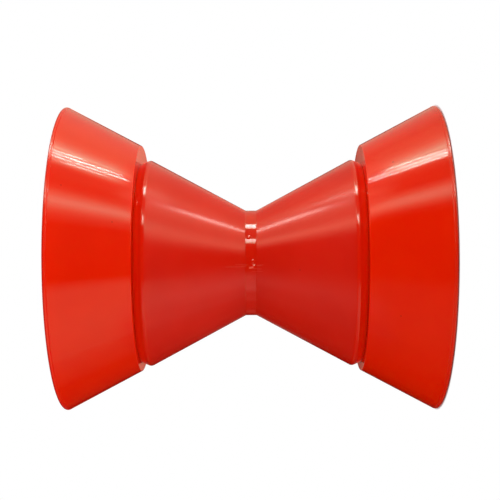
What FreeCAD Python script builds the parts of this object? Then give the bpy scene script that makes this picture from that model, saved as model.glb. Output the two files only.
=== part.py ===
# Bow roller for a boat trailer: a waisted roller between two flared end bells, carried on a steel sleeve.
#
# The axle is vertical, along +Z, and the set stands on the rim of its lower bell. The origin is on the
# sleeve's axis, in the plane that it stands on. The moulded bores are slack on the sleeve: as the set was
# seen lying down, its bells rest level and the roller hangs from the sleeve, so the bells stand off the
# sleeve's axis by the slack towards +X and the roller by as much towards -X.
import FreeCAD, Part
import Sketcher
import math
import os

# Driving sizes in millimetres: name, value, what it is.
SIZES = [
    ("roller_length", 76.2, "end face to end face"),
    ("roller_end_diameter", 76.2, "where the cone would meet the end face, before the corner is bevelled"),
    ("roller_corner_bevel", 3.4, "bevel at each large end, measured along each face"),
    ("neck_diameter", 37.0, "round land at the middle"),
    ("neck_width", 3.9, "land at the neck, between the two cones"),
    ("bell_mouth_diameter", 107.1, "outside, in the plane of the rim"),
    ("nose_step", 1.6, "how far the bell's nose face stands out past the roller's end, all round"),
    ("bell_width", 26.1, "rim to nose face"),
    ("bell_wall", 8.0, "flared wall, measured level with the rim"),
    ("bell_web", 8.5, "floor of the dish, to the nose face"),
    ("dish_corner_fill", 1.8, "between the dish's wall and floor"),
    ("rim_outer_bevel", 0.7, "outer edge of the rim"),
    ("rim_inner_bevel", 0.8, "inner edge of the rim"),
    ("nose_bevel", 0.3, "edge of the nose face"),
    ("hub_wall", 8.15, "hub in the dish, from its bore out, at its free end"),
    ("hub_taper", 0.6, "added to the hub's radius at its foot"),
    ("hub_foot_fill", 1.9, "from the hub into the floor"),
    ("hub_edge_bevel", 0.7, "edge of the hub's free end"),
    ("hub_recess", 1.5, "from the rim's plane down to the hub's end"),
    ("bolt_diameter", 12.7, "the bracket's bolt or shaft, which the sleeve takes"),
    ("bolt_clearance", 0.5, "on the diameter, bolt in the sleeve"),
    ("sleeve_wall", 1.34, "wall of the steel sleeve"),
    ("sleeve_bevel", 0.3, "all four edges of the sleeve's ends"),
    ("bore_clearance", 1.82, "on the diameter, sleeve in the moulded bores"),
    ("bore_bevel", 0.8, "at both mouths of a moulded bore"),
    ("sleeve_stand_out", 0.6, "end float, standing out above the upper rim"),
    ("running_gap", 0.25, "between the roller's end and each bell"),
    ("touch_gap", 0.03, "between a bore and the sleeve where they meet"),
    ("mark_radius", 0.7, "ball that forms a gate mark on the neck"),
    ("mark_height", 0.22, "how far a gate mark stands out of the land"),
]

# Gate marks on the neck: name, angle round the axis from +X in degrees, height above mid-length.
GATE_MARKS = [
    ("GateMarkHigh", -61.5, 0.7),
    ("GateMarkLow", -88.5, -0.6),
]

# Sizes and places that follow from the driving sizes.
SLEEVE_BORE = "(sizes.bolt_diameter + sizes.bolt_clearance)"
SLEEVE_DIAMETER = f"({SLEEVE_BORE} + 2 * sizes.sleeve_wall)"
MOULDED_BORE = f"({SLEEVE_DIAMETER} + sizes.bore_clearance)"
HUB_DIAMETER = f"({MOULDED_BORE} + 2 * sizes.hub_wall)"
NOSE_DIAMETER = "(sizes.roller_end_diameter + 2 * sizes.nose_step)"
FLARE = f"((sizes.bell_mouth_diameter - {NOSE_DIAMETER}) / 2 / sizes.bell_width)"
SLACK = "(sizes.bore_clearance / 2 - sizes.touch_gap)"
ROLLER_MIDDLE = "(sizes.bell_width + sizes.running_gap + sizes.roller_length / 2)"
SET_HEIGHT = "(2 * sizes.bell_width + 2 * sizes.running_gap + sizes.roller_length)"

EDGE_TOLERANCE = 1e-4

doc = FreeCAD.newDocument("BowRoller")


def make_sheet():
    """The spreadsheet of driving sizes, one row each."""
    sheet = doc.addObject("Spreadsheet::Sheet", "sizes")
    for row, (name, value, note) in enumerate(SIZES, 1):
        sheet.set(f"A{row}", name)
        sheet.set(f"B{row}", str(value))
        sheet.set(f"C{row}", note)
        sheet.setAlias(f"B{row}", name)
    doc.recompute()
    return sheet


sizes = make_sheet()


def value_of(formula):
    """What a formula on the sheet's sizes comes to, in millimetres."""
    return float(sizes.evalExpression(formula))


def new_body(name, label):
    body = doc.addObject("PartDesign::Body", name)
    body.Label = label
    return body


def origin_plane(body, role):
    return next(plane for plane in body.Origin.OriginFeatures if plane.Role == role)


def new_sketch(body, name, role):
    sketch = body.newObject("Sketcher::SketchObject", name)
    sketch.AttachmentSupport = [(origin_plane(body, role), "")]
    sketch.MapMode = "FlatFace"
    return sketch


def hold_to(sketch, kind, geometry, point, formula):
    """Ties one coordinate of a point to a formula on the sheet. A point on an axis is tied to the axis."""
    value = value_of(formula)
    if abs(value) < EDGE_TOLERANCE:
        axis = -2 if kind == "DistanceX" else -1
        sketch.addConstraint(Sketcher.Constraint("PointOnObject", geometry, point, axis))
        return
    index = sketch.addConstraint(Sketcher.Constraint(kind, -1, 1, geometry, point, value))
    sketch.setExpression(f"Constraints[{index}]", formula)


def half_section(body, name, corners):
    """A closed outline on the XZ plane. Each corner is its distance from the axis and its height."""
    sketch = new_sketch(body, name, "XZ_Plane")
    points = [FreeCAD.Vector(value_of(radius), value_of(height), 0) for radius, height in corners]
    for start, end in zip(points, points[1:] + points[:1]):
        sketch.addGeometry(Part.LineSegment(start, end), False)
    count = len(corners)
    for line, (radius, height) in enumerate(corners):
        sketch.addConstraint(Sketcher.Constraint("Coincident", line, 2, (line + 1) % count, 1))
        hold_to(sketch, "DistanceX", line, 1, radius)
        hold_to(sketch, "DistanceY", line, 1, height)
    return sketch


def revolve(body, sketch, name):
    turned = body.newObject("PartDesign::Revolution", name)
    turned.Profile = sketch
    turned.ReferenceAxis = (sketch, ["V_Axis"])
    turned.Angle = 360
    doc.recompute()
    return turned


def ring_edges(feature, diameter, height):
    """Names of the round edges of that diameter at that height."""
    radius, level = value_of(diameter) / 2, value_of(height)
    names = []
    for number, edge in enumerate(feature.Shape.Edges, 1):
        curve = edge.Curve
        if not isinstance(curve, Part.Circle):
            continue
        if abs(curve.Radius - radius) < EDGE_TOLERANCE and abs(curve.Center.z - level) < EDGE_TOLERANCE:
            names.append(f"Edge{number}")
    if not names:
        raise ValueError(f"{feature.Name} has no round edge of {diameter} at {height}")
    return names


def bevel(body, name, base, rings, size):
    """A bevel on the round edges named by diameter and height. It breaks a corner or fills one."""
    feature = body.newObject("PartDesign::Chamfer", name)
    names = [edge for diameter, height in rings for edge in ring_edges(base, diameter, height)]
    feature.Base = (base, names)
    feature.setExpression("Size", size)
    doc.recompute()
    return feature


def place(body, shift_x, height, turned_over=False):
    """Puts a finished body at its place. One that is turned over has its own +Z pointing down."""
    half_turn = FreeCAD.Rotation(FreeCAD.Vector(1, 0, 0), 180 if turned_over else 0)
    body.Placement = FreeCAD.Placement(FreeCAD.Vector(0, 0, 0), half_turn)
    body.setExpression("Placement.Base.x", shift_x)
    body.setExpression("Placement.Base.z", height)


def make_roller():
    """The waisted roller: two cones that meet in a narrow round land, turned about its own middle."""
    body = new_body("BowRoller", "bow_roller")
    end, land = "sizes.roller_length / 2", "sizes.neck_width / 2"
    bore, neck, rim = f"{MOULDED_BORE} / 2", "sizes.neck_diameter / 2", "sizes.roller_end_diameter / 2"
    outline = half_section(body, "RollerSection", [
        (bore, f"-{end}"),
        (rim, f"-{end}"),
        (neck, f"-{land}"),
        (neck, land),
        (rim, end),
        (bore, end),
    ])
    solid = revolve(body, outline, "RollerTurned")
    ends = [("sizes.roller_end_diameter", f"-{end}"), ("sizes.roller_end_diameter", end)]
    solid = bevel(body, "RollerCorners", solid, ends, "sizes.roller_corner_bevel")
    mouths = [(MOULDED_BORE, f"-{end}"), (MOULDED_BORE, end)]
    bevel(body, "RollerBoreMouths", solid, mouths, "sizes.bore_bevel")
    for name, angle, height in GATE_MARKS:
        add_gate_mark(body, name, angle, height)
    place(body, f"-{SLACK}", ROLLER_MIDDLE)
    return body


def add_gate_mark(body, name, angle, height):
    """A low round pip on the neck's land, where the moulding was fed and trimmed."""
    mark = body.newObject("PartDesign::AdditiveSphere", name)
    mark.setExpression("Radius", "sizes.mark_radius")
    reach = "(sizes.neck_diameter / 2 + sizes.mark_height - sizes.mark_radius)"
    mark.setExpression("Placement.Base.x", f"{reach} * {math.cos(math.radians(angle))}")
    mark.setExpression("Placement.Base.y", f"{reach} * {math.sin(math.radians(angle))}")
    mark.setExpression("Placement.Base.z", str(height))
    doc.recompute()


def make_bell(name, label):
    """An end bell: a flared ring, its rim at height 0, with a dish in the rim's side and a hub in the dish."""
    body = new_body(name, label)
    bore, hub = f"{MOULDED_BORE} / 2", f"{HUB_DIAMETER} / 2"
    mouth, nose = "sizes.bell_mouth_diameter / 2", f"{NOSE_DIAMETER} / 2"
    floor = "(sizes.bell_width - sizes.bell_web)"
    hub_foot = f"({hub} + sizes.hub_taper)"
    dish_mouth = f"({mouth} - sizes.bell_wall)"
    dish_foot = f"({dish_mouth} - {FLARE} * {floor})"
    outline = half_section(body, f"{name}Section", [
        (bore, "sizes.hub_recess"),
        (hub, "sizes.hub_recess"),
        (hub_foot, floor),
        (dish_foot, floor),
        (dish_mouth, "0"),
        (mouth, "0"),
        (nose, "sizes.bell_width"),
        (bore, "sizes.bell_width"),
    ])
    solid = revolve(body, outline, f"{name}Turned")
    for suffix, diameter, height, size in (
        ("DishCorner", f"2 * {dish_foot}", floor, "sizes.dish_corner_fill"),
        ("HubFoot", f"2 * {hub_foot}", floor, "sizes.hub_foot_fill"),
        ("HubEdge", HUB_DIAMETER, "sizes.hub_recess", "sizes.hub_edge_bevel"),
        ("RimInner", f"2 * {dish_mouth}", "0", "sizes.rim_inner_bevel"),
        ("RimOuter", "sizes.bell_mouth_diameter", "0", "sizes.rim_outer_bevel"),
        ("NoseEdge", NOSE_DIAMETER, "sizes.bell_width", "sizes.nose_bevel"),
    ):
        solid = bevel(body, f"{name}{suffix}", solid, [(diameter, height)], size)
    mouths = [(MOULDED_BORE, "sizes.hub_recess"), (MOULDED_BORE, "sizes.bell_width")]
    bevel(body, f"{name}BoreMouths", solid, mouths, "sizes.bore_bevel")
    return body


def make_sleeve():
    """The steel sleeve that the roller and the bells turn on. The bracket's bolt passes through it."""
    body = new_body("AxleSleeve", "axle_sleeve")
    sketch = new_sketch(body, "SleeveSection", "XY_Plane")
    for ring, size in enumerate((SLEEVE_DIAMETER, SLEEVE_BORE)):
        radius = value_of(size) / 2
        centre, normal = FreeCAD.Vector(0, 0, 0), FreeCAD.Vector(0, 0, 1)
        sketch.addGeometry(Part.Circle(centre, normal, radius), False)
        sketch.addConstraint(Sketcher.Constraint("Coincident", ring, 3, -1, 1))
        index = sketch.addConstraint(Sketcher.Constraint("Diameter", ring, 2 * radius))
        sketch.setExpression(f"Constraints[{index}]", size)
    length = f"({SET_HEIGHT} + sizes.sleeve_stand_out)"
    tube = body.newObject("PartDesign::Pad", "SleeveTube")
    tube.Profile = sketch
    tube.setExpression("Length", length)
    doc.recompute()
    ends = [(diameter, height) for diameter in (SLEEVE_DIAMETER, SLEEVE_BORE) for height in ("0", length)]
    bevel(body, "SleeveEnds", tube, ends, "sizes.sleeve_bevel")
    return body


def check_document():
    """Stops if any object failed to recompute, which the document itself doesn't report."""
    for item in doc.Objects:
        if "Invalid" in item.State or "Error" in item.State:
            raise RuntimeError(f"{item.Name} failed: {item.State}")


def export(bodies):
    os.makedirs("parts", exist_ok=True)
    for body in bodies:
        shape = body.Shape
        if shape.isNull() or not shape.isValid() or len(shape.Solids) != 1:
            raise RuntimeError(f"{body.Label} is not one valid solid")
    for body in bodies:
        body.Shape.exportStep(f"parts/{body.Label}.step")
        print(body.Label, round(body.Shape.Volume / 1000, 2), "cm3", body.Shape.BoundBox)


roller = make_roller()
sleeve = make_sleeve()
lower_bell = make_bell("LowerBell", "lower_bell")
place(lower_bell, SLACK, "0")
upper_bell = make_bell("UpperBell", "upper_bell")
place(upper_bell, SLACK, SET_HEIGHT, turned_over=True)
doc.recompute()
check_document()
export([roller, sleeve, lower_bell, upper_bell])
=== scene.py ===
# Looks of the bow roller set: three glossy red mouldings on a plated steel sleeve.
#
# All sizes are in metres. The set stands on the rim of its lower bell with its axle along +Z. The camera is
# turned on its side, so that the axle runs across the picture with the upper bell at the left. Up in the
# picture is +X, and away from the camera is +Y.
import math

import bmesh
import bpy
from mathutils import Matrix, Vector


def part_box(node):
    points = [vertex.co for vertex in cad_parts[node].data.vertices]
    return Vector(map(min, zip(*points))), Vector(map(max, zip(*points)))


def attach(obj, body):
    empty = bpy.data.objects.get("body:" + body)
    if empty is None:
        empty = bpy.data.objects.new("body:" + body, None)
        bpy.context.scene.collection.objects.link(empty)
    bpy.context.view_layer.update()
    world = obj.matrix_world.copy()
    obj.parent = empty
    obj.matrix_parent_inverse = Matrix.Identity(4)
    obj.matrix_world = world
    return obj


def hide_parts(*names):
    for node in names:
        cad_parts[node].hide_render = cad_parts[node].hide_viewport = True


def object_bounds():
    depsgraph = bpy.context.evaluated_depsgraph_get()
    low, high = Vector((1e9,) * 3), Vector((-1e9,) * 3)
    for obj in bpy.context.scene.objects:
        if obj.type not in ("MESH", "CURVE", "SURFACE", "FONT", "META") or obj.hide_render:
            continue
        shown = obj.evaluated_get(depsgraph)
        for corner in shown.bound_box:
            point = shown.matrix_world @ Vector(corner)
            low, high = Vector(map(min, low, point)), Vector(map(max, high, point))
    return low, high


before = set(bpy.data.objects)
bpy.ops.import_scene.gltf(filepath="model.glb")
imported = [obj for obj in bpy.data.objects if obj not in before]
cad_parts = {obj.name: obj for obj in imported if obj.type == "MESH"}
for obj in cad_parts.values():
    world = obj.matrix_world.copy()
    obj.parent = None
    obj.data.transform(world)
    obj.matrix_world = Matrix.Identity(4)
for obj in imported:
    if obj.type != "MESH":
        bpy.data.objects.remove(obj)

CAD_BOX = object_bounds()

# The roller, corner to corner before its corners are rounded.
ROLLER_END_RADIUS = 0.0381
NECK_RADIUS = 0.0185
NECK_WIDTH = 0.0037
SHOULDER_WIDTH = 0.0032
ROLLER_FACE_RADIUS = 0.0350
SHOULDER_ROUND = 0.0016
ROLLER_FACE_ROUND = 0.00005
NECK_ROUND = 0.0007
# The roller's end faces reach this much nearer to the bells than the CAD's running gap leaves them.
ROLLER_REACH = 0.00022

# The gate marks on the land: each its angle about the axis and its height over the middle.
GATE_MARKS = [(math.radians(-61.5), 0.0007), (math.radians(-88.5), -0.0006)]
GATE_RADIUS = 0.0007
GATE_HEIGHT = 0.00028
# The stretch of the land that is cut finely for them, in degrees about the axis. Its upright edges are cut
# first, and then every edge on it.
MARKED_STRETCH = (-97, -53)
UPRIGHT_CUTS = 17
FINER_CUTS = 2

# The bells. The two are alike and stand mouth outwards.
MOUTH_RADIUS = 0.05355
NOSE_RADIUS = 0.0397
BELL_WALL = 0.0080
BELL_WEB = 0.0085
RIM_OUTER_ROUND = 0.0006
RIM_INNER_ROUND = 0.0016
# A fine groove sets the outer lip of the rim off from the flank.
LIP_WIDTH = 0.0011
GROOVE_WIDTH = 0.0003
GROOVE_DEPTH = 0.00015
GROOVE_ROUND = 0.00006
NOSE_ROUND = 0.0003
DISH_ROUND = 0.0050
HUB_RADIUS = 0.0170
HUB_TAPER = 0.0006
HUB_RECESS = 0.0015
HUB_EDGE_ROUND = 0.0010
HUB_FOOT_ROUND = 0.0030

# The sleeve, and the bores that turn on it.
SLEEVE_WALL = 0.00134
SLEEVE_BEVEL = 0.0003
BORE_RADIUS = 0.00885
BORE_BEVEL = 0.0008

# How finely round forms are cut.
TURNS = 288
LARGE_STEPS = 12
SMALL_STEPS = 6
FINE_STEPS = 2
SAME_PLACE = 1e-6

# The reds of the plastic, in linear light. Each moulding drifts between its pale and its deep shade.
BELL_PALE = (0.80, 0.0150, 0.0004, 1)
BELL_DEEP = (0.775, 0.0130, 0.0002, 1)
# Painted shade: the darker red of the rims' very edge, for the dark outline that shade gives it.
BRIM_SHADE_RED = (0.50, 0.0150, 0.0040, 1)
ROLLER_PALE = (0.685, 0.0115, 0.0020, 1)
ROLLER_DEEP = (0.655, 0.0095, 0.0010, 1)
# Painted light: the roller's shoulders and ends are coloured brighter, for the red light that the bells'
# noses throw back on them.
SHOULDER_GLOW_RED = (0.71, 0.0120, 0.0010, 1)
END_GLOW_RED = (0.97, 0.0200, 0.0010, 1)
SPECK_RED = (0.10, 0.004, 0.001, 1)
SCRATCH_RED = (0.95, 0.12, 0.07, 1)

# The drifts over the plastic, each the scale of its noise: in shade, in gloss and in its surface's level.
SHADE_DRIFT = 60
GLOSS_DRIFT = 90
RIPPLE = 45
# The shade passes from pale to deep over this much of the noise. The roughness has the least share of itself
# at no noise, and a full noise adds the rest.
SHADE_RANGE = (0.35, 0.65)
LEAST_ROUGH = 0.8
ADDED_ROUGH = 0.4
# How far the surface moves at a bump height of 1, and the bump heights of the ripple and of a scratch.
BUMP_DEPTH = 0.0002
RIPPLE_HEIGHT = 0.12
SCRATCH_DEPTH = 0.5

# How rough each part is: the bells and what wear adds on their lips, and the roller's land, its shoulders and
# its cones, with what the cones gain towards their wide ends.
BELL_ROUGH = 0.056
LIP_WEAR = 0.10
LAND_ROUGH = 0.07
SHOULDER_ROUGH = 0.08
CONE_ROUGH = 0.15
CONE_GAIN = 0.01

# Where the finish changes, each where a fade starts and where it ends. On a bell, by the depth from its rim:
LIP_WORN = (0.0018, 0.0006)
# Painted shade at the rims' very edge: where its darker red starts and where it is full.
BRIM_SHADED = (0.0008, 0.0003)
# On the roller, by the distance from its middle:
CONE_DULLED = (0.018, 0.032)
SHOULDER_POLISHED = (0.0335, 0.0350)
# Painted light: where the shoulders and then the ends turn brighter.
SHOULDER_LIT = (0.0343, 0.0352)
END_LIT = (0.0360, 0.0378)
# The land's gloss passes into that of the cones over this much past its corners.
LAND_FADE = 0.0004

# Dark specks on the mouldings: place and size.
BELL_SPECKS = [
    ((0.03207, -0.03124, 0.01773), 0.0004), ((0.02778, -0.03410, 0.01906), 0.0006),
    ((-0.01784, -0.04069, 0.01651), 0.0003), ((0.02409, -0.04533, 0.12396), 0.0003),
    ((0.01251, -0.04110, 0.10849), 0.0003),
]
ROLLER_SPECKS = [((-0.00319, -0.02620, 0.04812), 0.0003), ((-0.02878, -0.01439, 0.09019), 0.0003)]
# A speck's darkness, and the part of its size within which it is at its darkest.
SPECK_DARKNESS = 0.5
SPECK_CORE = 0.4

# Scratches on the roller's neck: their two ends, each its place along +X and along the axle, and their width.
SCRATCHES = [
    ((-0.00158, 0.0641), (-0.00125, 0.0627), 0.00030),
    ((-0.00258, 0.0652), (-0.00222, 0.0634), 0.00045),
    ((-0.0018, 0.0630), (-0.0014, 0.0600), 0.00015),
    ((-0.0027, 0.0640), (-0.0029, 0.0605), 0.00015),
    ((-0.0038, 0.0645), (-0.0036, 0.0600), 0.00012),
    ((-0.0022, 0.0735), (-0.0020, 0.0655), 0.00012),
    ((-0.0013, 0.0700), (-0.0015, 0.0650), 0.00012),
]
# One of this width is at full depth, and finer ones are shallower. They are paler than the plastic too.
FULL_SCRATCH_WIDTH = 0.0004
SCRATCH_PALENESS = 0.6
# The part of its width within which a scratch is deepest, and of its length over which it fades at each end.
SCRATCH_CORE = 0.3
SCRATCH_TAPER = 0.3

# The plating on the sleeve drifts between two greys and two degrees of gloss, at the scale of a fine noise.
STEEL_DULL = (0.60, 0.61, 0.63, 1)
STEEL_BRIGHT = (0.68, 0.68, 0.69, 1)
STEEL_GRAIN = 600
STEEL_ROUGH = 0.22
STEEL_ROUGH_RANGE = 0.12

# The camera, on its side, and the lens that the photographed outline gives.
CAMERA_PLACE = (0.00088, -0.4047, 0.06216)
CAMERA_ROLL = math.radians(90.24)
CAMERA_LENS = 82.19
CAMERA_SHIFT = (-0.0152, 0.0158)

# The floor: a disc just under the set, paper out to the lower rim and plain white past it.
FLOOR_RADIUS = 0.09
FLOOR_GAP = 0.0001
FLOOR_CORNERS = 96
PAPER_COLOUR = (0.95, 0.95, 0.95, 1)
PAPER_EDGE = (0.0532, 0.0538)
WHITE = (1, 1, 1, 1)


class Wire:
    """One output of a node tree. Arithmetic on wires adds Math nodes."""

    def __init__(self, recipe, socket):
        self.recipe = recipe
        self.socket = socket

    def math(self, operation, *values):
        return self.recipe.add("ShaderNodeMath", {"operation": operation}, dict(enumerate(values)))

    def __add__(self, other):
        return self.math("ADD", self, other)

    def __radd__(self, other):
        return self.math("ADD", other, self)

    def __sub__(self, other):
        return self.math("SUBTRACT", self, other)

    def __rsub__(self, other):
        return self.math("SUBTRACT", other, self)

    def __mul__(self, other):
        return self.math("MULTIPLY", self, other)

    def __rmul__(self, other):
        return self.math("MULTIPLY", other, self)

    def __truediv__(self, other):
        return self.math("DIVIDE", self, other)

    def __abs__(self):
        return self.math("ABSOLUTE", self)


class Recipe:
    """The nodes of one finish, or of the surroundings."""

    def __init__(self, tree):
        self.tree = tree
        tree.nodes.clear()

    def add(self, kind, settings=None, sockets=None, out=0):
        """A node of that kind: its settings first, then a value or a wire for each socket that is given."""
        node = self.tree.nodes.new(kind)
        for name, value in (settings or {}).items():
            if name == "stops":
                lay_stops(node.color_ramp, value)
            else:
                setattr(node, name, value)
        for name, value in (sockets or {}).items():
            if isinstance(value, Wire):
                self.tree.links.new(value.socket, node.inputs[name])
            else:
                node.inputs[name].default_value = value
        return Wire(self, node.outputs[out])

    def axes(self, vector):
        """The three parts of a vector."""
        parts = self.add("ShaderNodeSeparateXYZ", sockets={"Vector": vector})
        node = parts.socket.node
        return [Wire(self, output) for output in node.outputs]

    def fade(self, value, start, end):
        """0 before start, 1 after end, and smooth between them."""
        sockets = {"Value": value, "From Min": start, "From Max": end}
        return self.add("ShaderNodeMapRange", {"interpolation_type": "SMOOTHSTEP"}, sockets)

    def band(self, value, centre, half, edge):
        """1 within half a width of the centre, 0 past the soft edge."""
        return self.fade(abs(value - centre), half + edge, half)

    def noise(self, place, scale, detail=2.0):
        return self.add("ShaderNodeTexNoise", None, {"Vector": place, "Scale": scale, "Detail": detail})

    def apart(self, place, centre):
        """The distance of a place from a fixed one."""
        return self.add("ShaderNodeVectorMath", {"operation": "DISTANCE"}, {0: place, 1: centre}, 1)

    def mixed(self, factor, first, second):
        """One colour passing into another."""
        sockets = {0: factor, 6: first, 7: second}
        return self.add("ShaderNodeMix", {"data_type": "RGBA"}, sockets, 2)

    def surface(self, shader, output="ShaderNodeOutputMaterial"):
        """Ends the recipe in its output."""
        self.tree.links.new(shader.socket, self.tree.nodes.new(output).inputs["Surface"])


def lay_stops(ramp, stops):
    """Sets a ramp's stops, each a place from 0 to 1 and a grey level."""
    while len(ramp.elements) > 1:
        ramp.elements.remove(ramp.elements[-1])
    for index, (place, level) in enumerate(stops):
        element = ramp.elements[0] if index == 0 else ramp.elements.new(place)
        element.position = place
        element.color = (level, level, level, 1)


def corner_cut(before, corner, after, rounding):
    """How far from a corner of an outline its rounding starts."""
    turn = (Vector(corner[:2]) - Vector(before[:2])).angle(Vector(after[:2]) - Vector(corner[:2]))
    return rounding * math.tan(turn / 2)


def select_ring(piece, axis, radius, height):
    """Selects the round edge at that radius and height, and nothing else."""
    bpy.ops.mesh.select_all(action="DESELECT")
    mesh = bmesh.from_edit_mesh(piece.data)
    for vertex in mesh.verts:
        away = math.hypot(vertex.co.x - axis.x, vertex.co.y - axis.y)
        vertex.select = abs(away - radius) < SAME_PLACE and abs(vertex.co.z - height) < SAME_PLACE
    mesh.select_flush(True)
    bmesh.update_edit_mesh(piece.data)


def start_ring(name, axis, radius, height):
    """A new piece that is one ring about the axis, in edit mode with the ring selected."""
    bpy.ops.object.select_all(action="DESELECT")
    bpy.ops.mesh.primitive_circle_add(vertices=TURNS, radius=radius, location=(axis.x, axis.y, height))
    piece = bpy.context.object
    piece.name = name
    piece.data.name = name
    bpy.ops.object.transform_apply(location=True, rotation=True, scale=True)
    bpy.ops.object.mode_set(mode="EDIT")
    bpy.ops.mesh.select_mode(type="VERT")
    bpy.ops.mesh.select_all(action="SELECT")
    return piece


def pull_ring(axis, start, end):
    """Extrudes the selected ring from one corner of the outline to the next."""
    rise = {"value": (0, 0, end[1] - start[1])}
    bpy.ops.mesh.extrude_region_move(TRANSFORM_OT_translate=rise)
    growth = end[0] / start[0]
    bpy.ops.transform.resize(value=(growth, growth, 1), center_override=(axis.x, axis.y, end[1]))


def turned(name, axis, outline):
    """A closed outline turned about an upright axis. A corner is its radius, height, rounding and steps."""
    piece = start_ring(name, axis, *outline[0][:2])
    for start, end in zip(outline, outline[1:] + outline[:1]):
        pull_ring(axis, start, end)
    bpy.ops.mesh.select_all(action="SELECT")
    bpy.ops.mesh.remove_doubles(threshold=SAME_PLACE)
    corners = zip(outline[-1:] + outline[:-1], outline, outline[1:] + outline[:1])
    for before, corner, after in corners:
        radius, height, rounding, steps = corner
        select_ring(piece, axis, radius, height)
        cut = corner_cut(before, corner, after, rounding)
        bpy.ops.mesh.bevel(offset=cut, segments=steps, profile=0.5, affect="EDGES")
    bpy.ops.mesh.select_all(action="SELECT")
    bpy.ops.mesh.normals_make_consistent(inside=False)
    bpy.ops.object.mode_set(mode="OBJECT")
    return piece


def smooth(piece):
    """Smooth shading that keeps the long cones true beside their small roundings."""
    bpy.ops.object.shade_smooth()
    modifier = piece.modifiers.new("true_cones", "WEIGHTED_NORMAL")
    modifier.mode = "FACE_AREA"
    modifier.weight = 100
    bpy.ops.object.modifier_apply(modifier=modifier.name)


def place_of(node):
    """The upright axis, bottom and top of a turned CAD node."""
    low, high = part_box(node)
    middle = (low + high) / 2
    return Vector((middle.x, middle.y)), low.z, high.z


def make_roller():
    """The waisted roller: two cones that meet in a narrow round land."""
    axis, bottom, top = place_of("bow_roller")
    middle = (bottom + top) / 2
    bottom -= ROLLER_REACH
    top += ROLLER_REACH
    land = NECK_WIDTH / 2
    waist = (ROLLER_END_RADIUS - NECK_RADIUS) / (middle - land - bottom)
    shoulder = ROLLER_END_RADIUS - waist * SHOULDER_WIDTH
    piece = turned("roller_moulding", axis, [
        (BORE_RADIUS, bottom, BORE_BEVEL, 1),
        (ROLLER_FACE_RADIUS, bottom, ROLLER_FACE_ROUND, FINE_STEPS),
        (shoulder, bottom + SHOULDER_WIDTH, SHOULDER_ROUND, LARGE_STEPS),
        (NECK_RADIUS, middle - land, NECK_ROUND, SMALL_STEPS),
        (NECK_RADIUS, middle + land, NECK_ROUND, SMALL_STEPS),
        (shoulder, top - SHOULDER_WIDTH, SHOULDER_ROUND, LARGE_STEPS),
        (ROLLER_FACE_RADIUS, top, ROLLER_FACE_ROUND, FINE_STEPS),
        (BORE_RADIUS, top, BORE_BEVEL, 1),
    ])
    raise_gate_marks(piece, axis, middle)
    smooth(piece)
    return piece


def raise_gate_marks(piece, axis, middle):
    """Two low round marks on the land, where the moulding was filled."""
    bpy.ops.object.mode_set(mode="EDIT")
    cut_marked_land(piece, axis, middle, UPRIGHT_CUTS, True)
    cut_marked_land(piece, axis, middle, FINER_CUTS, False)
    bpy.ops.mesh.select_mode(type="VERT")
    for turn, rise in GATE_MARKS:
        outward = Vector((math.cos(turn), math.sin(turn), 0))
        place = Vector((axis.x, axis.y, middle + rise)) + NECK_RADIUS * outward
        raise_mark(piece, place, outward)
    bpy.ops.mesh.select_all(action="SELECT")
    bpy.ops.mesh.normals_make_consistent(inside=False)
    bpy.ops.object.mode_set(mode="OBJECT")


def cut_marked_land(piece, axis, middle, cuts, upright_only):
    """Cuts the edges of the land under the gate marks, either all of them or only the upright ones."""
    bpy.ops.mesh.select_mode(type="EDGE")
    bpy.ops.mesh.select_all(action="DESELECT")
    mesh = bmesh.from_edit_mesh(piece.data)
    for edge in mesh.edges:
        ends = [vertex.co for vertex in edge.verts]
        wanted = not upright_only or abs(ends[0].z - ends[1].z) > NECK_WIDTH / 2
        edge.select = wanted and all(on_marked_land(end, axis, middle) for end in ends)
    bmesh.update_edit_mesh(piece.data)
    bpy.ops.mesh.subdivide(number_cuts=cuts)


def on_marked_land(place, axis, middle):
    """Whether a place lies on the stretch of the land that the gate marks stand on."""
    turn = math.degrees(math.atan2(place.y - axis.y, place.x - axis.x))
    first, last = MARKED_STRETCH
    return abs(place.z - middle) < NECK_WIDTH / 2 and first < turn < last


def raise_mark(piece, place, outward):
    """Pulls the surface outward about a place, into one low dome."""
    mesh = bmesh.from_edit_mesh(piece.data)
    bpy.ops.mesh.select_all(action="DESELECT")
    nearest = min(mesh.verts, key=lambda vertex: (vertex.co - place).length)
    nearest.select = True
    bmesh.update_edit_mesh(piece.data)
    bpy.ops.transform.translate(
        value=GATE_HEIGHT * outward,
        use_proportional_edit=True,
        proportional_edit_falloff="SPHERE",
        proportional_size=GATE_RADIUS,
    )


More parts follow.
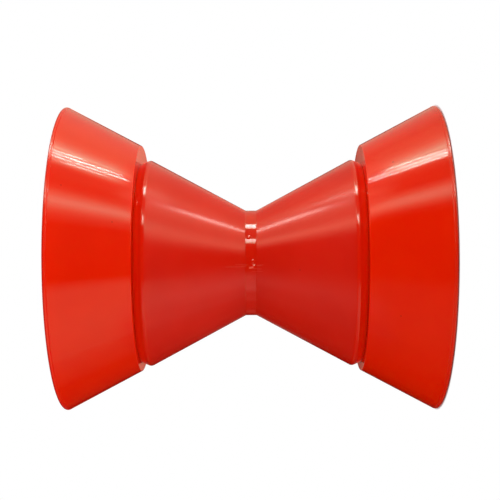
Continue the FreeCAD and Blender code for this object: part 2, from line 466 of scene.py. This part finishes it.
def make_bell(name, node, rim, nose):
    """An end bell between its rim and its nose face, with a dish in the rim's side and a hub in the dish."""
    axis, _, _ = place_of(node)
    width = abs(nose - rim)
    inward = (nose - rim) / width
    flare = (MOUTH_RADIUS - NOSE_RADIUS) / width
    floor = width - BELL_WEB
    dish_mouth = MOUTH_RADIUS - BELL_WALL
    groove = LIP_WIDTH + GROOVE_WIDTH / 2

    def flank(depth):
        return MOUTH_RADIUS - flare * depth

    outline = [
        (BORE_RADIUS, HUB_RECESS, BORE_BEVEL, 1),
        (HUB_RADIUS, HUB_RECESS, HUB_EDGE_ROUND, SMALL_STEPS),
        (HUB_RADIUS + HUB_TAPER, floor, HUB_FOOT_ROUND, LARGE_STEPS),
        (dish_mouth - flare * floor, floor, DISH_ROUND, LARGE_STEPS),
        (dish_mouth, 0, RIM_INNER_ROUND, LARGE_STEPS),
        (MOUTH_RADIUS, 0, RIM_OUTER_ROUND, SMALL_STEPS),
        (flank(LIP_WIDTH), LIP_WIDTH, GROOVE_ROUND, FINE_STEPS),
        (flank(groove) - GROOVE_DEPTH, groove, GROOVE_ROUND, FINE_STEPS),
        (flank(LIP_WIDTH + GROOVE_WIDTH), LIP_WIDTH + GROOVE_WIDTH, GROOVE_ROUND, FINE_STEPS),
        (NOSE_RADIUS, width, NOSE_ROUND, SMALL_STEPS),
        (BORE_RADIUS, width, BORE_BEVEL, 1),
    ]
    piece = turned(name, axis, [
        (radius, rim + inward * depth, rounding, steps) for radius, depth, rounding, steps in outline
    ])
    smooth(piece)
    return piece


def make_sleeve():
    """The plain steel tube that the mouldings turn on."""
    axis, bottom, top = place_of("axle_sleeve")
    low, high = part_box("axle_sleeve")
    outer = (high.x - low.x) / 2
    inner = outer - SLEEVE_WALL
    piece = turned("sleeve_tube", axis, [
        (radius, height, SLEEVE_BEVEL, 1)
        for radius, height in ((inner, bottom), (outer, bottom), (outer, top), (inner, top))
    ])
    smooth(piece)
    return piece


def new_finish(name):
    """A new material and its empty recipe."""
    material = bpy.data.materials.new(name)
    material.use_nodes = True
    return material, Recipe(material.node_tree)


def plastic(recipe, place, pale, deep, roughness, specks, marks=0):
    """Glossy moulded plastic that light enters a little, with faint drifts in its shade, gloss and level.

    Each speck darkens it about a place, out to its size. The marks are how deep it is scratched, and a
    scratch makes it paler too.
    """
    drift = recipe.fade(recipe.noise(place, SHADE_DRIFT), *SHADE_RANGE)
    polish = recipe.noise(place, GLOSS_DRIFT)
    ripple = recipe.noise(place, RIPPLE, detail=1.0)
    height = RIPPLE_HEIGHT * ripple - SCRATCH_DEPTH * marks
    normal = recipe.add("ShaderNodeBump", None, {"Strength": 1.0, "Distance": BUMP_DEPTH, "Height": height})
    dirt = 0
    for centre, size in specks:
        dirt = dirt + SPECK_DARKNESS * recipe.fade(recipe.apart(place, centre), size, SPECK_CORE * size)
    clean = recipe.mixed(SCRATCH_PALENESS * marks, recipe.mixed(drift, pale, deep), SCRATCH_RED)
    shader = recipe.add("ShaderNodeBsdfPrincipled", None, {
        "Base Color": recipe.mixed(dirt, clean, SPECK_RED),
        "Roughness": roughness * (LEAST_ROUGH + ADDED_ROUGH * polish),
        "IOR": 1.45,
        "Subsurface Weight": 0.6,
        "Subsurface Radius": (1.0, 0.05, 0.02),
        "Subsurface Scale": 0.006,
        "Normal": normal,
    })
    recipe.surface(shader)


def bell_plastic():
    """Glossy, with a few dark specks. The lips of the rims are duller from wear, and painted shade darkens
    their very edge.
    """
    material, recipe = new_finish("bell_red_plastic")
    place = recipe.add("ShaderNodeTexCoord", out="Object")
    _, _, height = recipe.axes(place)
    _, low, _ = place_of("lower_bell")
    _, _, high = place_of("upper_bell")
    reach = (high - low) / 2
    off = abs(height - (low + high) / 2)
    lip = recipe.fade(off, reach - LIP_WORN[0], reach - LIP_WORN[1])
    # Painted shade: the rims' very edge is coloured a darker red.
    brim_shade = recipe.fade(off, reach - BRIM_SHADED[0], reach - BRIM_SHADED[1])
    pale = recipe.mixed(brim_shade, BELL_PALE, BRIM_SHADE_RED)
    deep = recipe.mixed(brim_shade, BELL_DEEP, BRIM_SHADE_RED)
    plastic(recipe, place, pale, deep, BELL_ROUGH + LIP_WEAR * lip, BELL_SPECKS)
    return material


def roller_plastic():
    """Duller than the bells on its cones, polished on its land and shoulders, and with painted light
    brightening its shoulders a little and its ends more.
    """
    material, recipe = new_finish("roller_red_plastic")
    place = recipe.add("ShaderNodeTexCoord", out="Object")
    up, _, height = recipe.axes(place)
    low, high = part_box("bow_roller")
    off = abs(height - (low.z + high.z) / 2)
    land = recipe.fade(off, NECK_WIDTH / 2 + LAND_FADE, NECK_WIDTH / 2)
    shoulder = recipe.fade(off, *SHOULDER_POLISHED)
    cone = CONE_ROUGH + CONE_GAIN * recipe.fade(off, *CONE_DULLED)
    roughness = cone * (1 - land) * (1 - shoulder) + LAND_ROUGH * land + SHOULDER_ROUGH * shoulder
    marks = 0
    for start, end, width in SCRATCHES:
        marks = marks + (width / FULL_SCRATCH_WIDTH) * scratch(recipe, up, height, start, end, width)
    # Painted light: the shoulders and ends are coloured brighter.
    shoulder_glow = recipe.fade(off, *SHOULDER_LIT)
    glow_red = recipe.mixed(recipe.fade(off, *END_LIT), SHOULDER_GLOW_RED, END_GLOW_RED)
    pale = recipe.mixed(shoulder_glow, ROLLER_PALE, glow_red)
    deep = recipe.mixed(shoulder_glow, ROLLER_DEEP, glow_red)
    plastic(recipe, place, pale, deep, roughness, ROLLER_SPECKS, marks)
    return material


def scratch(recipe, up, height, start, end, width):
    """1 along a straight scratch between two places, each its way up the picture and along the axle."""
    slope = (end[0] - start[0]) / (end[1] - start[1])
    line = up - start[0] - slope * (height - start[1])
    across = recipe.band(line, 0, SCRATCH_CORE * width, (1 - SCRATCH_CORE) * width)
    middle = (start[1] + end[1]) / 2
    half = abs(end[1] - start[1]) / 2
    return across * recipe.band(height, middle, (1 - SCRATCH_TAPER) * half, SCRATCH_TAPER * half)


def plated_steel():
    """Plating with a fine grain in its grey and its gloss."""
    material, recipe = new_finish("plated_steel")
    place = recipe.add("ShaderNodeTexCoord", out="Object")
    grain = recipe.noise(place, STEEL_GRAIN)
    shader = recipe.add("ShaderNodeBsdfPrincipled", None, {
        "Base Color": recipe.mixed(grain, STEEL_DULL, STEEL_BRIGHT),
        "Metallic": 1.0,
        "Roughness": STEEL_ROUGH + STEEL_ROUGH_RANGE * grain,
    })
    recipe.surface(shader)
    return material


def dress(piece, material, body, node):
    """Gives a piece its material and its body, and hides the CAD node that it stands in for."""
    piece.data.materials.clear()
    piece.data.materials.append(material)
    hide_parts(node)
    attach(piece, body)


def build_object():
    bell_finish = bell_plastic()
    roller_finish = roller_plastic()
    steel = plated_steel()
    dress(make_roller(), roller_finish, "roller", "bow_roller")
    _, bottom, top = place_of("lower_bell")
    lower_bell = make_bell("lower_bell_moulding", "lower_bell", bottom, top)
    dress(lower_bell, bell_finish, "lower_end", "lower_bell")
    _, bottom, top = place_of("upper_bell")
    upper_bell = make_bell("upper_bell_moulding", "upper_bell", top, bottom)
    dress(upper_bell, bell_finish, "upper_end", "upper_bell")
    dress(make_sleeve(), steel, "sleeve", "axle_sleeve")


def lay_floor():
    """A pale disc under the set. Its paper passes into plain white at the lower bell's rim."""
    bpy.ops.object.select_all(action="DESELECT")
    place = (0, 0, CAD_BOX[0][2] - FLOOR_GAP)
    bpy.ops.mesh.primitive_circle_add(
        vertices=FLOOR_CORNERS, radius=FLOOR_RADIUS, fill_type="NGON", location=place)
    floor = bpy.context.object
    floor.name = "studio_floor"
    material, recipe = new_finish("studio_floor_white")
    axis, _, _ = place_of("lower_bell")
    away = recipe.apart(recipe.add("ShaderNodeTexCoord", out="Object"), (axis.x, axis.y, 0))
    paper = recipe.add("ShaderNodeBsdfDiffuse", None, {"Color": PAPER_COLOUR})
    white = recipe.add("ShaderNodeEmission", None, {"Color": WHITE, "Strength": 1.0})
    edge = recipe.fade(away, *PAPER_EDGE)
    recipe.surface(recipe.add("ShaderNodeMixShader", None, {0: edge, 1: paper, 2: white}))
    floor.data.materials.append(material)
    floor.visible_glossy = False


# How bright the room is in the gloss, each list by the tip: the angle from straight over the set towards the
# camera, in degrees. The two sides of the room differ, and so do the parts of it that the bells, the roller's
# cones and the land on its neck mirror.
BELLS_SEE_RIGHT = [
    (-180, 0.28), (-165, 0.11), (-150, 0.01), (-103, 0.01), (-96, 0.31), (-80, 0.36), (-50, 0.42),
    (-24, 0.65), (-18, 0.90), (-14, 1.60), (-10, 3.00), (-8.7, 5.50), (-7.2, 3.40), (3, 3.00), (6, 0.75),
    (9, 0.35), (22, 0.22), (27, 0.45), (31, 1.10), (35, 2.10), (38, 2.80), (42, 1.80), (46, 0.85),
    (50, 0.40), (58, 0.05), (110, 0.0), (121, 0.50), (156, 0.53), (175, 0.38),
]
BELLS_SEE_LEFT = [
    (-180, 0.05), (-150, 0.0), (-103, 0.0), (-96, 0.28), (-80, 0.42), (-60, 0.33), (-35, 0.28), (-24, 0.50),
    (-18, 0.87), (-14, 1.60), (-10, 3.00), (-8.8, 5.00), (-7.2, 3.40), (0.5, 3.00), (2.5, 0.45), (8, 0.18),
    (19, 0.15), (24, 0.70), (28, 1.75), (31, 2.15), (34, 1.60), (38, 0.60), (42, 0.12), (48, 0.0), (110, 0.0),
    (122, 0.09), (156, 0.11), (175, 0.06),
]
CONES_SEE_RIGHT = [
    (-180, 0.14), (-160, 0.06), (-120, 0.02), (-105, 0.10), (-70, 0.36), (-50, 0.26), (-25, 0.34),
    (-12, 0.60), (-4, 1.00), (12, 1.05), (22, 0.70), (32, 0.80), (40, 1.10), (46, 1.35), (54, 0.70),
    (62, 0.15), (72, 0.0), (95, 0.02), (112, 0.20), (128, 0.42), (142, 0.62), (152, 0.50), (166, 0.28),
]
CONES_SEE_LEFT = [
    (-180, 0.08), (-160, 0.02), (-120, 0.01), (-105, 0.14), (-70, 0.34), (-50, 0.20), (-28, 0.30),
    (-14, 0.80), (-4, 1.00), (8, 0.90), (18, 0.62), (26, 0.85), (33, 1.70), (39, 0.95), (46, 0.20), (52, 0.0),
    (95, 0.0), (112, 0.08), (128, 0.22), (140, 0.36), (150, 0.25), (166, 0.13),
]
LAND_SEES = [
    (-180, 0.10), (-150, 0.05), (-110, 0.20), (-75, 0.35), (-30, 0.40), (-4, 0.60), (-1.5, 17.0), (5, 17.0),
    (8, 8.0), (10, 0.30), (35, 0.20), (38, 13.0), (44, 9.5), (47, 0.15), (60, 0.0), (105, 0.0), (120, 0.50),
    (145, 0.75), (160, 0.25),
]
BRIGHTEST = 18.0

# The two numbers of each fade below are where it starts and where it ends.

# How far to the side a flank mirrors the room at most, for its tilt. The room is parted along that line: the
# cones mirror what lies near it and past it, the bells what lies inside it, and the land the middle.
FLANK = 0.83
CONES_MIRROR = (0.05, 0.03)
LAND_MIRRORS = (0.20, 0.35)
LAND_SIDE = (0.24, 0.20)
# Where the right side of the room passes into the left one.
LEFT_SIDE = (-0.05, 0.05)

# The part of the room that the wide ends of the cones mirror from over the set is dimmed: its middle, half
# width and soft edge by the tip, where it starts from the side, and by how much.
VALLEY_TIP = (8, 11, 4)
VALLEY_SIDE = (0.63, 0.595)
VALLEY_DIMMING = 0.45
# The room straight behind the set is dimmed too.
BEHIND_BACK = (0.945, 0.965)
BEHIND_SIDE = (0.10, 0.08)
BEHIND_DIMMING = 0.9

# The tints of the room in the gloss. Over the set and beyond it the bells have one and the cones another.
OVERHEAD_TINTS = (1.35, 1.62, 0.98, 1), (2.6, 1.55, 0.98, 1)
BEYOND_TINTS = (1.30, 1.30, 0.98, 1), (2.0, 1.30, 0.98, 1)
BEYOND = (0.35, 0.85)
# Under the set, for the roller only.
UNDER_TINT = (1.0, 1.15, 0.98, 1)
UNDER = (0.2, -0.2)
# Where the room is bright, but not for the cones, and where it is brightest of all.
BRIGHT_TINT = (0.55, 1.5, 1.02, 1)
BRIGHT = (0.6, 2.5)
BRIGHTEST_TINT = (1.1, 1.15, 1.1, 1)
NEARLY_BRIGHTEST = (4.0, 14.0)
# Nearly straight behind the set, which surfaces mirror that are seen aslant.
ASLANT_TINT = (3.8, 1.45, 0.98, 1)
ASLANT_BACK = (0.93, 0.96)
ASLANT_SIDE = (0.085, 0.10)

# The plain light on the set: its level, what it gains upwards, what it gains besides towards straight up, and
# how much of that it gains below, towards the two ends. It also leans: from above it comes more from the
# upper bell's end, and from elsewhere more from the lower bell's.
PLAIN_LEVEL = 0.915
PLAIN_RISE = 0.23
PLAIN_CROWN = 0.28
PLAIN_SPREAD = 2.9
PLAIN_LEAN = 0.08
# How far either side of level the light from above passes into that from below.
LEVEL_FADE = 0.1


def room_by_tip(recipe, tip, stops):
    """The brightness of the room by its tip."""
    places = [((angle + 180) / 360, level / BRIGHTEST) for angle, level in stops]
    return recipe.add("ShaderNodeValToRGB", {"stops": places}, {"Fac": tip / 360 + 0.5}) * BRIGHTEST


def two_sided_room(recipe, tip, along, right_stops, left_stops):
    """The brightness of the room by its tip, with its right and its left side apart."""
    left = recipe.fade(along, *LEFT_SIDE)
    return room_by_tip(recipe, tip, right_stops) * (1 - left) + room_by_tip(recipe, tip, left_stops) * left


def parts_of_room(recipe, tip, along):
    """How much of the room in each direction the roller's cones mirror, and how much the land does."""
    turn = tip.math("FLOORED_MODULO", tip + 90, 360) * (math.pi / 360)
    inward = FLANK * turn.math("SINE", turn) - abs(along)
    cones = recipe.fade(inward, *CONES_MIRROR)
    land = recipe.fade(inward, *LAND_MIRRORS) * recipe.fade(abs(along), *LAND_SIDE)
    return cones, land


def room_brightness(recipe, tip, back, along, cones, land):
    """How bright the room in the gloss is."""
    for_bells = two_sided_room(recipe, tip, along, BELLS_SEE_RIGHT, BELLS_SEE_LEFT)
    for_cones = two_sided_room(recipe, tip, along, CONES_SEE_RIGHT, CONES_SEE_LEFT)
    valley = recipe.band(tip, *VALLEY_TIP) * recipe.fade(abs(along), *VALLEY_SIDE)
    for_cones = for_cones * (1 - VALLEY_DIMMING * valley)
    sides = for_bells * (1 - cones) + for_cones * cones
    room = sides * (1 - land) + room_by_tip(recipe, tip, LAND_SEES) * land
    behind = recipe.fade(back, *BEHIND_BACK) * recipe.fade(abs(along), *BEHIND_SIDE)
    return room * (1 - BEHIND_DIMMING * behind)


def room_tint(recipe, room, over, back, along, cones, land):
    """The tint of the room in the gloss, by where it is and by how bright it is there."""
    overhead = recipe.mixed(cones, *OVERHEAD_TINTS)
    beyond = recipe.mixed(cones, *BEYOND_TINTS)
    tint = recipe.mixed(recipe.fade(back, *BEYOND), overhead, beyond)
    under = (cones + land) * recipe.fade(over, *UNDER)
    tint = recipe.mixed(under, tint, UNDER_TINT)
    tint = recipe.mixed((1 - cones) * recipe.fade(room, *BRIGHT), tint, BRIGHT_TINT)
    aslant = recipe.fade(back, *ASLANT_BACK) * recipe.fade(abs(along), *ASLANT_SIDE)
    tint = recipe.mixed(aslant, tint, ASLANT_TINT)
    return recipe.mixed(recipe.fade(room, *NEARLY_BRIGHTEST), tint, BRIGHTEST_TINT)


def plain_light(recipe, over, along):
    """The light that falls on the set: soft, and stronger from above."""
    above = recipe.fade(over, -LEVEL_FADE, LEVEL_FADE)
    below = recipe.fade(over, LEVEL_FADE, -LEVEL_FADE)
    crown = PLAIN_CROWN * over * over * (above + below * PLAIN_SPREAD * along * along)
    return PLAIN_LEVEL + PLAIN_RISE * over + crown - PLAIN_LEAN * along * (1 - 2 * over)


def light_room():
    """White to the camera, plain light on the set, and a studio in its gloss."""
    world = bpy.data.worlds.new("studio")
    bpy.context.scene.world = world
    world.use_nodes = True
    recipe = Recipe(world.node_tree)
    over, back, along = recipe.axes(recipe.add("ShaderNodeTexCoord", out="Generated"))
    tip = over.math("ARCTAN2", back * -1.0, over) * (180 / math.pi)
    cones, land = parts_of_room(recipe, tip, along)
    room = room_brightness(recipe, tip, back, along, cones, land)
    camera = recipe.add("ShaderNodeLightPath", out="Is Camera Ray")
    glossy = recipe.add("ShaderNodeLightPath", out="Is Glossy Ray")
    through = recipe.add("ShaderNodeLightPath", out="Is Transmission Ray")
    mirrored = glossy.math("MAXIMUM", glossy, through)
    light = mirrored * room + (1 - mirrored) * plain_light(recipe, over, along)
    strength = camera + (1 - camera) * light
    tint = recipe.mixed(mirrored, WHITE, room_tint(recipe, room, over, back, along, cones, land))
    background = recipe.add("ShaderNodeBackground", None, {"Color": tint, "Strength": strength})
    recipe.surface(background, "ShaderNodeOutputWorld")


# The strip lamps: where each starts and ends, as the distance to the right of the camera and in front of the
# axle, its width, and its radiance. The bells mirror the narrow ones and the roller the four wide ones.
LAMP_HEIGHT = 0.6
LAMP_COLOUR = (1.0, 1.0, 0.92)
LINE_WIDTH = 0.0072
RIDGE_WIDTH = 0.050
BRANCH_WIDTH = 0.036
STRIPS = [
    ((0.226, -0.0110), (0.256, -0.0335), LINE_WIDTH, 26),
    ((0.240, 0.0153), (0.304, -0.0230), LINE_WIDTH, 38),
    ((0.252, 0.0424), (0.328, 0.0101), LINE_WIDTH, 36),
    ((0.279, 0.0651), (0.321, 0.0534), LINE_WIDTH, 26),
    ((-0.240, -0.0013), (-0.297, -0.0434), LINE_WIDTH, 31),
    ((-0.252, 0.0230), (-0.336, -0.0140), LINE_WIDTH, 39),
    ((-0.268, 0.0471), (-0.352, 0.0213), LINE_WIDTH, 30),
    ((0.450, 0.0444), (0.570, 0.0370), RIDGE_WIDTH, 12.5),
    ((0.422, 0.0500), (0.450, 0.0444), RIDGE_WIDTH, 7),
    ((-0.436, 0.0250), (-0.570, 0.0150), RIDGE_WIDTH, 12),
    ((-0.345, -0.0630), (-0.383, -0.0670), BRANCH_WIDTH, 5),
]


def hang_strip(number, start, end, width, radiance):
    """One bright line over the set, which shows in the gloss only."""
    data = bpy.data.lights.new(f"strip_{number}", "AREA")
    data.shape = "RECTANGLE"
    data.size = math.dist(start, end)
    data.size_y = width
    data.energy = radiance * math.pi * data.size * data.size_y
    data.color = LAMP_COLOUR
    lamp = bpy.data.objects.new(f"strip_{number}", data)
    middle = [(a + b) / 2 for a, b in zip(start, end)]
    lamp.location = (LAMP_HEIGHT, -middle[1], CAMERA_PLACE[2] - middle[0])
    lamp.rotation_mode = "YXZ"
    lamp.rotation_euler = (math.atan2(start[1] - end[1], end[0] - start[0]), math.radians(90), 0)
    lamp.visible_camera = False
    lamp.visible_diffuse = False
    bpy.context.scene.collection.objects.link(lamp)


def hang_strips():
    for number, strip in enumerate(STRIPS, 1):
        hang_strip(number, *strip)


def place_camera():
    """The camera in front of the set, on its side."""
    data = bpy.data.cameras.new("camera")
    data.lens = CAMERA_LENS
    data.shift_x, data.shift_y = CAMERA_SHIFT
    camera = bpy.data.objects.new("camera", data)
    camera.location = CAMERA_PLACE
    camera.rotation_euler = (math.radians(90), CAMERA_ROLL, 0)
    bpy.context.scene.collection.objects.link(camera)
    bpy.context.scene.camera = camera


place_camera()
build_object()
lay_floor()
light_room()
hang_strips()
bpy.context.scene.view_settings.view_transform = "Standard"
